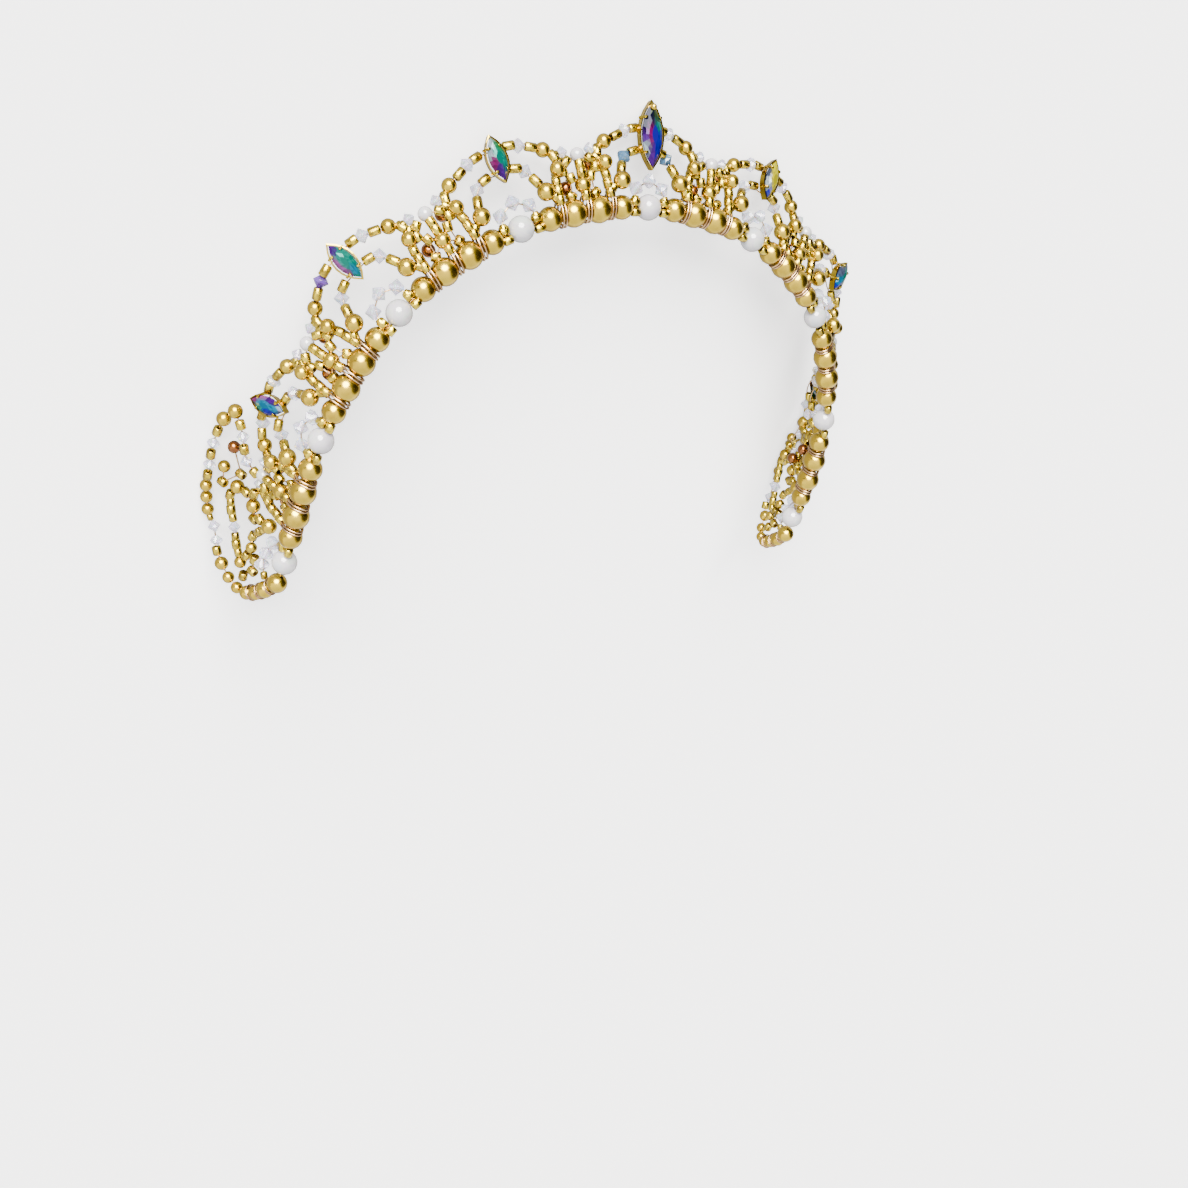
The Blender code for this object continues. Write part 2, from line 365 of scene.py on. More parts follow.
def make_rainbow_group() -> bpy.types.NodeTree:
    """The pale rainbow film on clear crystals and on white pearls.

    Returns:
        A group that puts out a colour.
    """
    group, into, out = new_group(
        "rainbow_film", (("Base", COLOUR, (0.9, 0.9, 0.95, 1.0)), ("Scale", VALUE, 150.0),
                         ("Strength", VALUE, 0.5)), (("Colour", COLOUR),))
    place = node(group, "ShaderNodeTexCoord")
    noise = node(group, "ShaderNodeTexNoise", Detail=1.0, Distortion=0.6)
    ramp = ramp_node(
        group, (0.32, (0.45, 0.66, 1.0)), (0.42, (0.98, 0.98, 1.0)), (0.50, (0.66, 0.48, 0.95)),
        (0.57, (0.96, 1.0, 0.98)), (0.64, (0.45, 0.88, 0.72)), (0.72, (1.0, 0.74, 0.86)))
    blend = node(group, "ShaderNodeMix", data_type="RGBA")
    join(group, (place, "Object", noise, "Vector"), (into, "Scale", noise, "Scale"),
         (noise, "Fac", ramp, "Fac"), (into, "Strength", blend, MIX_SHARE),
         (into, "Base", blend, MIX_FIRST), (ramp, "Color", blend, MIX_SECOND),
         (blend, MIX_OUT, out, "Colour"))
    return group


def start_material(name: str) -> tuple[bpy.types.Material, bpy.types.NodeTree, bpy.types.Node]:
    """A material with its Principled shader.

    Args:
        name: the material's name.

    Returns:
        The material, its node tree and the shader.
    """
    material = bpy.data.materials.new(name)
    material.use_nodes = True
    return material, material.node_tree, material.node_tree.nodes["Principled BSDF"]


@dataclass(frozen=True)
class PlatedFinish:
    """A metal coat on glass, on wire or on a setting."""

    name: str
    colour: Rgb
    thin: Rgb
    metallic: float = 1.0
    roughness: float = 0.22
    spread: float = 0.08
    scale: float = 300.0
    bump: float = 0.04
    coat: float = 0.0
    coat_roughness: float = 0.03

    def make(self, plating: bpy.types.NodeTree) -> bpy.types.Material:
        """Build the material.

        Args:
            plating: the shared plating group.

        Returns:
            The material.
        """
        material, graph, shader = start_material(self.name)
        coat = node(graph, "ShaderNodeGroup", node_tree=plating, Colour=(*self.colour, 1.0),
                    Thin_Colour=(*self.thin, 1.0), Scale=self.scale, Roughness=self.roughness,
                    Spread=self.spread)
        settle(shader, Metallic=self.metallic, Coat_Weight=self.coat,
               Coat_Roughness=self.coat_roughness)
        join(graph, (coat, "Colour", shader, "Base Color"), (coat, "Roughness", shader, "Roughness"))
        add_bump(graph, coat, "Height", shader, self.bump)
        return material


@dataclass(frozen=True)
class NacreFinish:
    """The glossy white of the nine pearls."""

    name: str = "white_nacre"
    colour: Rgb = (0.285, 0.28, 0.275)
    film: float = 0.08
    roughness: float = 0.18
    film_scale: float = 240.0
    grain: float = 900.0
    bump: float = 0.03
    coat: float = 1.0
    coat_roughness: float = 0.04

    def make(self, rainbow: bpy.types.NodeTree) -> bpy.types.Material:
        """Build the material.

        Args:
            rainbow: the shared rainbow group.

        Returns:
            The material.
        """
        material, graph, shader = start_material(self.name)
        film = node(graph, "ShaderNodeGroup", node_tree=rainbow, Base=(*self.colour, 1.0),
                    Scale=self.film_scale, Strength=self.film)
        place = node(graph, "ShaderNodeTexCoord")
        grain = node(graph, "ShaderNodeTexNoise", Scale=self.grain, Detail=2.0)
        join(graph, (film, "Colour", shader, "Base Color"), (place, "Object", grain, "Vector"))
        add_bump(graph, grain, "Fac", shader, self.bump)
        settle(shader, Roughness=self.roughness, Coat_Weight=self.coat,
               Coat_Roughness=self.coat_roughness)
        return material


@dataclass(frozen=True)
class CrystalFinish:
    """Clear or tinted cut crystal with a rainbow film."""

    name: str
    colour: Rgb
    film: float = 0.75
    film_scale: float = 800.0
    roughness: float = 0.03
    ior: float = 1.5
    transmission: float = 0.86
    coat: float = 0.4
    coat_roughness: float = 0.02
    glow: float = 0.0

    def make(self, rainbow: bpy.types.NodeTree) -> bpy.types.Material:
        """Build the material.

        Args:
            rainbow: the shared rainbow group.

        Returns:
            The material.
        """
        material, graph, shader = start_material(self.name)
        film = node(graph, "ShaderNodeGroup", node_tree=rainbow, Base=(*self.colour, 1.0),
                    Scale=self.film_scale, Strength=self.film)
        join(graph, (film, "Colour", shader, "Base Color"))
        if self.glow:
            join(graph, (film, "Colour", shader, "Emission Color"))
            settle(shader, Emission_Strength=self.glow)
        settle(shader, Metallic=0.0, Roughness=self.roughness, IOR=self.ior,
               Transmission_Weight=self.transmission, Coat_Weight=self.coat,
               Coat_Roughness=self.coat_roughness)
        return material


@dataclass(frozen=True)
class FacetFinish:
    """The coated stones, which read their colours from the facets."""

    name: str = "navette_coat"
    metallic: float = 0.3
    roughness: float = 0.09
    spread: float = 0.03
    scale: float = 200.0
    bump: float = 0.02
    glow: float = 0.2
    specular: float = 0.10
    coat: float = 0.04
    coat_roughness: float = 0.03

    def make(self, plating: bpy.types.NodeTree) -> bpy.types.Material:
        """Build the material.

        Args:
            plating: the shared plating group, for its roughness and height.

        Returns:
            The material.
        """
        material, graph, shader = start_material(self.name)
        tint = node(graph, "ShaderNodeAttribute", attribute_name="facet_tint")
        coat = node(graph, "ShaderNodeGroup", node_tree=plating, Roughness=self.roughness,
                    Spread=self.spread, Scale=self.scale)
        join(graph, (tint, "Color", shader, "Base Color"), (tint, "Color", shader, "Emission Color"),
             (coat, "Roughness", shader, "Roughness"))
        add_bump(graph, coat, "Height", shader, self.bump)
        settle(shader, Emission_Strength=self.glow, Metallic=self.metallic,
               Specular_IOR_Level=self.specular, Coat_Weight=self.coat,
               Coat_Roughness=self.coat_roughness)
        return material


@dataclass
class Finishes:
    """Every material of the tiara, made once."""

    beads: dict[Bead, bpy.types.Material] = field(default_factory=dict)
    setting: bpy.types.Material | None = None
    wire: bpy.types.Material | None = None
    stone: bpy.types.Material | None = None

    def make(self) -> "Finishes":
        """Build the groups and the materials.

        Returns:
            This object.
        """
        plating, rainbow = make_plating_group(), make_rainbow_group()
        self.beads = {
            Bead.GOLD_PEARL: PlatedFinish(
                "satin_gold_pearl", (0.55, 0.385, 0.028), (0.44, 0.29, 0.016), roughness=0.20,
                coat=0.3, coat_roughness=0.14).make(plating),
            # A darker, redder copy of the gold pearl finish: painted shade, not a copper bead.
            Bead.SHADED_GOLD_PEARL: PlatedFinish(
                "gold_pearl_painted_shade", (0.24, 0.085, 0.010), (0.16, 0.045, 0.006), roughness=0.2,
                coat=0.5).make(plating),
            Bead.SEED: PlatedFinish(
                "silver_lined_seed", (0.66, 0.49, 0.022), (0.20, 0.125, 0.002), scale=620.0,
                roughness=0.07, spread=0.10, bump=0.4, coat=0.5).make(plating),
            Bead.WHITE_PEARL: NacreFinish().make(rainbow),
            Bead.CLEAR_BICONE: CrystalFinish(
                "clear_rainbow_crystal", (0.95, 0.96, 1.0), glow=0.16).make(rainbow),
            Bead.BLUE_BICONE: CrystalFinish(
                "blue_crystal", (0.02, 0.10, 0.20), film=0.04, transmission=0.4).make(rainbow),
            Bead.VIOLET_BICONE: CrystalFinish(
                "violet_crystal", (0.06, 0.005, 0.20), film=0.04, transmission=0.4).make(rainbow),
        }
        self.setting = PlatedFinish(
            "setting_gold", (0.50, 0.37, 0.035), (0.34, 0.23, 0.016), roughness=0.12,
            scale=220.0).make(plating)
        self.wire = PlatedFinish(
            "pale_wire", (0.58, 0.40, 0.22), (0.30, 0.17, 0.08), roughness=0.14,
            scale=500.0).make(plating)
        self.stone = FacetFinish().make(plating)
        return self


BEAD_SLOTS = {
    Bead.GOLD_PEARL: Slot.GOLD, Bead.SHADED_GOLD_PEARL: Slot.GOLD, Bead.SEED: Slot.GOLD,
    Bead.WHITE_PEARL: Slot.WHITE, Bead.CLEAR_BICONE: Slot.CRYSTAL, Bead.BLUE_BICONE: Slot.CRYSTAL,
    Bead.VIOLET_BICONE: Slot.CRYSTAL,
}


def baked(mesh: bmesh.types.BMesh, name: str) -> bpy.types.Mesh:
    """Turn a shape into mesh data, and free it.

    Args:
        mesh: the shape.
        name: the data's name.

    Returns:
        The data.
    """
    data = bpy.data.meshes.new(name)
    mesh.to_mesh(data)
    mesh.free()
    return data


def place_piece(data: bpy.types.Mesh, material: bpy.types.Material, slot: Slot,
                stands_for: tuple[str, ...] = ()) -> None:
    """Put a finished mesh in the scene as a piece of the tiara, named as the mesh is.

    Args:
        data: the mesh, already in place.
        material: its finish.
        slot: the kind of finish; not used.
        stands_for: the solids that it replaces.
    """
    data.materials.clear()
    data.materials.append(material)
    piece = bpy.data.objects.new(data.name, data)
    bpy.context.scene.collection.objects.link(piece)
    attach(piece, "root")
    if stands_for:
        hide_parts(*stands_for)
    LOG.info("%s: %d faces", piece.name, len(data.polygons))


@dataclass(frozen=True)
class BeadCutter:
    """Turns the plain shapes of the beads, one unit in radius, around their hole."""

    pearl_rings: int = 11
    pearl_sides: int = 20
    seed_sides: int = 9
    bicone_sides: int = 8
    hole: float = 0.17
    crease: float = 55.0

    def spun(self, profile: list[tuple[float, float]], sides: int,
             smooth: bool) -> bmesh.types.BMesh:
        """Spin a closed profile round the hole.

        Args:
            profile: radius and place on the axis of each point.
            sides: how many steps the spin takes.
            smooth: whether the faces are shaded smooth.

        Returns:
            The bead's mesh.
        """
        mesh = bmesh.new()
        points = [mesh.verts.new((radius, 0.0, place)) for radius, place in profile]
        edges = [mesh.edges.new(pair) for pair in zip(points, points[1:] + points[:1])]
        bmesh.ops.spin(mesh, geom=points + edges, cent=(0, 0, 0), axis=(0, 0, 1), dvec=(0, 0, 0),
                       angle=2 * math.pi, steps=sides, use_merge=True, use_duplicate=False)
        bmesh.ops.remove_doubles(mesh, verts=mesh.verts, dist=1e-5)
        bmesh.ops.recalc_face_normals(mesh, faces=mesh.faces)
        for face in mesh.faces:
            face.smooth = smooth
        for edge in mesh.edges:
            if len(edge.link_faces) == 2 and edge.calc_face_angle(0.0) > math.radians(self.crease):
                edge.smooth = False
        return mesh

    def pearl(self) -> bpy.types.Mesh:
        """Turn a round pearl with a drilled hole.

        Returns:
            The pearl.
        """
        start = math.asin(self.hole)
        turns = [start + (math.pi - 2 * start) * step / (self.pearl_rings - 1)
                 for step in range(self.pearl_rings)]
        return baked(self.spun([(math.sin(turn), math.cos(turn)) for turn in turns],
                               self.pearl_sides, True), "pearl_shape")

    def seed(self) -> bpy.types.Mesh:
        """A short rounded tube, seen with its hole from the ends."""
        profile = [(0.45, 0.86), (0.80, 0.98), (0.99, 0.84), (1.0, 0.0), (0.99, -0.84),
                   (0.80, -0.98), (0.45, -0.86)]
        return baked(self.spun(profile, self.seed_sides, True), "seed_shape")

    def bicone(self) -> bpy.types.Mesh:
        """Cut a double cone in two rows of facets a side, with the outer rows half a facet on.

        Returns:
            The bicone.
        """
        hole, belt, waist = (0.2, 0.90), (0.66, 0.40), (1.0, 0.0)
        mesh = self.spun([hole, belt, waist, (belt[0], -belt[1]), (hole[0], -hole[1])],
                         self.bicone_sides, False)
        rows = [point for point in mesh.verts if math.isclose(abs(point.co.z), belt[1], abs_tol=1e-4)]
        bmesh.ops.rotate(mesh, verts=rows, cent=(0, 0, 0),
                         matrix=Matrix.Rotation(math.pi / self.bicone_sides, 3, "Z"))
        bmesh.ops.triangulate(mesh, faces=mesh.faces, quad_method="SHORT_EDGE")
        bmesh.ops.recalc_face_normals(mesh, faces=mesh.faces)
        return baked(mesh, "bicone_shape")


@dataclass
class BeadBox:
    """Collects the beads of a sub-assembly and makes one piece of each sort."""

    finishes: Finishes
    sharp_turn: float = 0.2
    shapes: dict[Bead, bpy.types.Mesh] = field(default_factory=dict)

    def __post_init__(self) -> None:
        """Turn each shape once."""
        cutter = BeadCutter()
        pearl, seed, bicone = cutter.pearl(), cutter.seed(), cutter.bicone()
        self.shapes = {PEARL: pearl, SHADED_PEARL: pearl, WHITE: pearl, SEED: seed, BICONE: bicone,
                       BLUE: bicone, VIOLET: bicone}

    def add(self, trays: Trays, spot: Station, centre: Vector, axis: Vector, front: Vector,
            stretch: float = 1.0) -> None:
        """Put one bead into the tray of its sort.

        Args:
            trays: the sub-assembly's trays.
            spot: the bead's station.
            centre: its place in metres.
            axis: the direction of its hole.
            front: a direction that it faces.
            stretch: how much longer it is than usual, along its hole.
        """
        side = (front - front.dot(axis) * axis).normalized()
        turn = Matrix((side, axis.cross(side), axis)).transposed().to_4x4()
        copy = self.shapes[spot.bead].copy()
        copy.transform(Matrix.Translation(centre) @ turn @ Matrix.Diagonal(
            (spot.radius * MM, spot.radius * MM, spot.radius * MM * stretch, 1.0)))
        trays[spot.bead].from_mesh(copy)
        bpy.data.meshes.remove(copy)

    def string(self, name: str, start: float, spots: Sequence[Station], closed: bool = False,
               stands_for: tuple[str, ...] = (), stretch: float = 1.0) -> list[Vector]:
        """Thread the beads of one string, as one piece of each sort.

        Args:
            name: the sub-assembly's name.
            start: where the string's own zero is on the strip.
            spots: its stations in order.
            closed: whether it comes back to its start.
            stands_for: the solids that its pieces replace.
            stretch: how much longer its seeds are than usual.

        Returns:
            The places of the stations, for the wire.
        """
        places = [STRIP.point(start + spot.along, spot.height, spot.depth) for spot in spots]
        trays: Trays = defaultdict(bmesh.new)
        for index, (spot, place) in enumerate(zip(spots, places)):
            if spot.bead is None:
                continue
            before = places[index - 1] if closed or index else place
            after = places[(index + 1) % len(places)] if closed or index < len(places) - 1 else place
            axis = (place - before).normalized() + (after - place).normalized()
            if axis.length < self.sharp_turn:
                axis = after - before
            self.add(trays, spot, place, axis.normalized(),
                     STRIP.direction(start + spot.along, Way.DEPTH),
                     stretch if spot.bead is SEED else 1.0)
        self.close(name, trays, stands_for)
        return places

    def loose(self, name: str, start: float, spots: list[tuple[Station, Way]],
              stands_for: tuple[str, ...] = ()) -> None:
        """Place beads that are sewn on one by one.

        Args:
            name: the sub-assembly's name.
            start: where its own zero is on the strip.
            spots: each station, with the direction of its hole.
            stands_for: the solids that its pieces replace.
        """
        trays: Trays = defaultdict(bmesh.new)
        for spot, hole in spots:
            along = start + spot.along
            facing = Way.HEIGHT if hole is Way.DEPTH else Way.DEPTH
            self.add(trays, spot, STRIP.point(along, spot.height, spot.depth),
                     STRIP.direction(along, hole), STRIP.direction(along, facing))
        self.close(name, trays, stands_for)

    def close(self, name: str, trays: Trays, stands_for: tuple[str, ...]) -> None:
        """Make the pieces of the filled trays.

        Args:
            name: the sub-assembly's name.
            trays: the filled trays.
            stands_for: the solids that its pieces replace.
        """
        for bead, mesh in trays.items():
            place_piece(baked(mesh, name + "_" + bead.value), self.finishes.beads[bead],
                        BEAD_SLOTS[bead], stands_for)


@dataclass
class WireWork:
    """Thin wires drawn through and round the beads."""

    finishes: Finishes
    radius: float = 0.19

    def draw(self, name: str, lines: list[Line], radius: float = 0.0,
             stands_for: tuple[str, ...] = ()) -> None:
        """Draw some wires as one piece.

        Args:
            name: the piece's name.
            lines: the points of each wire, and whether it is closed.
            radius: its radius in millimetres, or 0 for the usual one.
            stands_for: the solids that it replaces.
        """
        curve = bpy.data.curves.new(name + "_line", "CURVE")
        curve.dimensions = "3D"
        curve.bevel_depth = (radius or self.radius) * MM
        curve.bevel_resolution = 1
        curve.resolution_u = 3
        curve.use_fill_caps = True
        for points, closed in lines:
            spline = curve.splines.new("NURBS")
            spline.points.add(len(points) - 1)
            for target, point in zip(spline.points, points):
                target.co = (*point, 1.0)
            spline.order_u = 3
            spline.use_endpoint_u = not closed
            spline.use_cyclic_u = closed
        drawn = bpy.data.objects.new(name + "_line", curve)
        bpy.context.scene.collection.objects.link(drawn)
        graph = bpy.context.evaluated_depsgraph_get()
        data = bpy.data.meshes.new_from_object(drawn.evaluated_get(graph))
        bpy.data.objects.remove(drawn, do_unlink=True)
        data.name = name
        for face in data.polygons:
            face.use_smooth = True
        place_piece(data, self.finishes.wire, Slot.GOLD, stands_for)

    @staticmethod
    def loop(along: float, centre: tuple[float, float], size: tuple[float, float],
             lean: float = 0.0, points: int = 12) -> list[Vector]:
        """Points of a wrap round the base row.

        Args:
            along: its place on the strip.
            centre: height and depth of its middle.
            size: half height and half depth.
            lean: how far its top is along from its bottom, in millimetres.
            points: how many points it has.

        Returns:
            The points in metres.
        """
        made = []
        for index in range(points):
            turn = 2 * math.pi * index / points
            rise = math.sin(turn)
            made.append(STRIP.point(along + lean * rise / 2, centre[0] + size[0] * rise,
                                    centre[1] + size[1] * math.cos(turn)))
        return made


@dataclass
class BaseRow:
    """The row of pearls at the foot of the arches, with its wraps and side seeds."""

    box: BeadBox
    wires: WireWork
    white_radius: float = 3.2
    run_places: tuple[float, ...] = (7.9, 14.35, 21.35, 27.8)
    run_radii: tuple[float, ...] = (3.0, 3.4, 3.4, 3.0)
    seed: Station = Station(4.3, 1.2, 0.66, SEED, 1.15)
    gaps: tuple[float, ...] = (11.05, 17.85, 24.65)
    wrap_shift: float = 0.42
    wrap_centre: tuple[float, float] = (0.5, 0.0)
    wrap_size: tuple[float, float] = (3.3, 2.35)
    wrap_lean: float = 0.5
    wrap_wire: float = 0.29

    def build(self) -> None:
        """Thread every white pearl and the gold pearls between them."""
        pearl = Station(0.0, 0.0, 0.0, WHITE, self.white_radius)
        for number in range(1, LAST_MOTIF + 1):
            self.box.loose("base_%d" % number, STRIP.start_of(number), [(pearl, Way.ROW)],
                           ("white_pearl_%d" % number,))
        for number in range(1, LAST_MOTIF):
            self.run(number)

    def run(self, number: int) -> None:
        """Thread and wrap the gold pearls that follow one white pearl.

        Args:
            number: the run's number from 1.
        """
        start, name = STRIP.start_of(number), "gold_run_%d" % number
        row = [Station(self.white_radius, 0.0, 0.0)]
        row += [Station(place, 0.0, 0.0, PEARL, radius)
                for place, radius in zip(self.run_places, self.run_radii)]
        row += [Station(STRIP.pitch - self.white_radius, 0.0, 0.0)]
        lines = [(self.box.string("run_%d" % number, start, row, stands_for=(name,)), False)]
        beside = [(replace(self.seed, along=place, height=height), Way.ROW)
                  for place in (self.seed.along, STRIP.pitch - self.seed.along)
                  for height in (-self.seed.height, self.seed.height)]
        self.box.loose("side_seeds_%d" % number, start, beside)
        lines += [(self.wires.loop(start + gap + shift, self.wrap_centre, self.wrap_size,
                                   self.wrap_lean), True)
                  for gap in self.gaps for shift in (-self.wrap_shift, self.wrap_shift)]
        self.wires.draw("run_%d_wraps" % number, lines, self.wrap_wire, stands_for=(name,))


@dataclass
class CrystalTrio:
    """Three clear bicones over a white pearl."""

    box: BeadBox
    wires: WireWork
    usual: tuple[Station, ...] = stations(
        (-4.35, 1.7, 0.8, SEED, 0.95), (-3.7, 4.5, 0.3, BICONE, 2.0), (0.0, 6.3, 0.5, BICONE, 2.0),
        (3.7, 4.5, 0.3, BICONE, 2.0), (4.35, 1.7, 0.8, SEED, 0.95))
    at_end: tuple[Station, ...] = stations(
        (-4.35, 1.7, 0.6, SEED, 0.95), (-2.6, 4.9, 0.6, BICONE, 2.0), (1.6, 6.1, 0.9, BICONE, 2.0),
        (5.6, 6.6, 1.0, BICONE, 2.0), (8.2, 5.0, 0.9, SEED, 0.95))

    def build(self, motif: int) -> None:
        """Thread one trio.

        Args:
            motif: the motif's number from 1.
        """
        name = "crystal_trio_%d" % motif
        spots = turned(self.at_end if motif in (1, LAST_MOTIF) else self.usual,
                       -1.0 if motif == 1 else 1.0)
        places = self.box.string("trio_%d" % motif, STRIP.start_of(motif), spots, stands_for=(name,))
        self.wires.draw("trio_%d_wire" % motif, [(places, False)], stands_for=(name,))


@dataclass
class Arch:
    """One arch: outer and inner strings that hold a set stone."""

    box: BeadBox
    wires: WireWork
    outer: tuple[Station, ...] = stations(
        (12.0, 10.7, 1.5, PEARL, 1.85), (12.6, 13.7, -0.4, SEED, 1.15), (10.65, 15.7, -0.6, PEARL, 1.85),
        (7.95, 16.9, 0.0, SEED, 1.15), (5.65, 18.0, -0.6, BICONE, 1.9), (3.6, 18.6, -0.2, SEED, 1.15),
        (1.7, 18.7, -1.5))
    inner: tuple[Station, ...] = stations(
        (1.7, 13.3, -1.45), (3.6, 13.3, -0.5, SEED, 1.15), (5.65, 12.1, -1.2, BICONE, 1.9),
        (7.05, 9.3, -0.1, SEED), (8.05, 6.25, 1.6, PEARL, 2.2), (10.6, 4.2, 0.7, SEED),
        (11.15, 2.35, 0.1))
    cap: Station = Station(0.0, 23.4, 2.6, PEARL, 0.85)
    seed_stretch: float = 1.3
    violet_motif: int = 3

    @staticmethod
    def tinted(spots: Sequence[Station], bead: Bead) -> list[Station]:
        """The same stations with another bead for the clear bicones."""
        return [replace(spot, bead=bead) if spot.bead is BICONE else spot for spot in spots]

    def build(self, motif: int) -> None:
        """Thread one arch round its stone.

        Args:
            motif: the motif's number from 1.
        """
        start, name = STRIP.start_of(motif), "arch_%d" % motif
        left, inner = turned(self.outer[::-1], -1.0), self.inner
        if motif == MIDDLE_MOTIF:
            self.box.loose("middle_cap", start, [(self.cap, Way.DEPTH)])
            inner = self.tinted(inner, BLUE)
        if motif == self.violet_motif:
            left = self.tinted(left, VIOLET)
        ring = [*self.outer, *left, *turned(inner[::-1], -1.0), *inner]
        places = self.box.string(name, start, ring, True, (name,), self.seed_stretch)
        self.wires.draw(name + "_wire", [(places, True)], stands_for=(name,))


@dataclass
class Net:
    """The beads that link two arches above the base row."""

    box: BeadBox
    wires: WireWork
    ring: tuple[Station, ...] = stations(
        (0.0, 13.1, 0.2, WHITE, 1.75), (2.9, 12.0, 0.0, SEED), (4.0, 9.9, 0.0, SEED),
        (2.5, 8.0, 0.2, SEED), (3.2, 3.9, 0.0, SEED), (0.0, 6.1, 0.6, PEARL, 2.0),
        (-3.2, 3.9, 0.0, SEED), (-2.5, 8.0, 0.2, SEED), (-4.0, 9.9, 0.0, SEED),
        (-2.9, 12.0, 0.0, SEED))
    middle: tuple[Station, ...] = stations(
        (0.0, 2.6, 0.6), (0.0, 3.6, 1.2, SEED), (0.0, 6.1, 0.6), (0.0, 8.9, 0.8, SEED),
        (0.0, 11.0, 0.6, SEED), (0.0, 13.1, 0.2))
    top: tuple[Station, ...] = stations(
        (2.2, 14.0, -0.3), (3.3, 14.2, -0.3, BICONE, 1.6), (5.0, 13.9, -0.4, SEED, 1.0),
        (5.6, 13.8, -0.4))
    # Gold pearls half hidden behind the net, in the painted-shade finish.
    low_shaded_pearl: tuple[Station, ...] = stations(
        (-3.4, 4.8, -2.2), (-3.3, 6.0, -2.0, SHADED_PEARL, 1.7), (-2.8, 8.0, -1.8))
    high_shaded_pearl: tuple[Station, ...] = stations(
        (3.6, 9.9, -1.8), (3.3, 10.9, -2.0, SHADED_PEARL, 1.7), (2.8, 12.0, -1.2))
    flank: tuple[Station, ...] = stations(
        (6.8, 2.2, 0.6), (6.7, 3.6, 1.0, SEED), (6.5, 5.8, 0.6, SEED), (6.3, 8.0, 0.4, SEED),
        (5.6, 10.1, 0.0, SEED), (4.6, 12.0, -0.2, SEED), (3.3, 13.2, -0.3))

    def build(self, number: int) -> None:
        """Thread one net.

        Args:
            number: the net's number from 1.
        """
        start, name = STRIP.start_of(number + 0.5), "net_%d" % number
        lines = [(self.box.string(name, start, self.ring, True, (name,)), True)]
        columns = (self.middle, turned(self.top, -1.0), self.top, self.low_shaded_pearl, self.high_shaded_pearl,
                   turned(self.flank, -1.0), self.flank)
        for index, column in enumerate(columns, 1):
            lines.append((self.box.string("%s_column_%d" % (name, index), start, column), False))
        self.wires.draw(name + "_wire", lines, stands_for=(name,))


